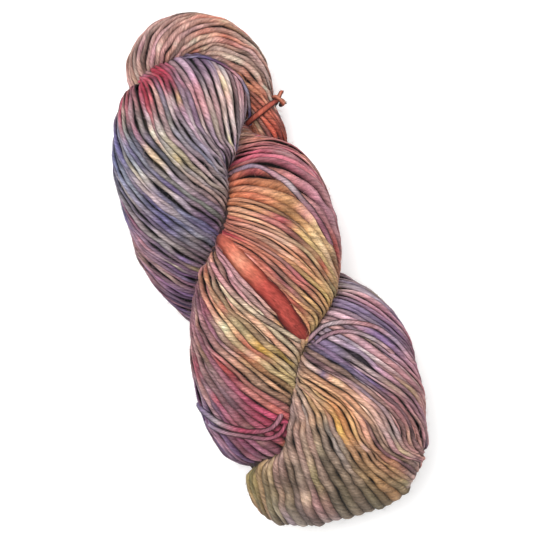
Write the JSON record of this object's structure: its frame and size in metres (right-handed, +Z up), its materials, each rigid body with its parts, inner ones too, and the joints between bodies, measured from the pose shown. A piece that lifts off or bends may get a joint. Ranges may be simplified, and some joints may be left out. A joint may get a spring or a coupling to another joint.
{
  "type": "hank of yarn",
  "caption": "Twisted hank of hand-dyed wool yarn lying flat: a skein doubled on itself into a two-part rope, with a loop end and a short yarn tied round it.",
  "frame": {"origin": "bottom centre of the bounding box, on the plane the hank lies on", "axes": "+Y along the hank towards its loop end, +Z up out of the face the picture shows, +X to the right of that face"},
  "size_m": [0.1237, 0.2918, 0.0725],
  "materials": {
    "hank": "soft single-ply wool, slightly felted, hand-dyed in short runs of peach, rose, lilac, blue, orange, gold and grey-green, with a light fuzz",
    "tie": "the same soft wool, coral red"
  },
  "bodies": {
    "root": {"hank": "hank", "tie": "tie"}
  },
  "joints": []
}
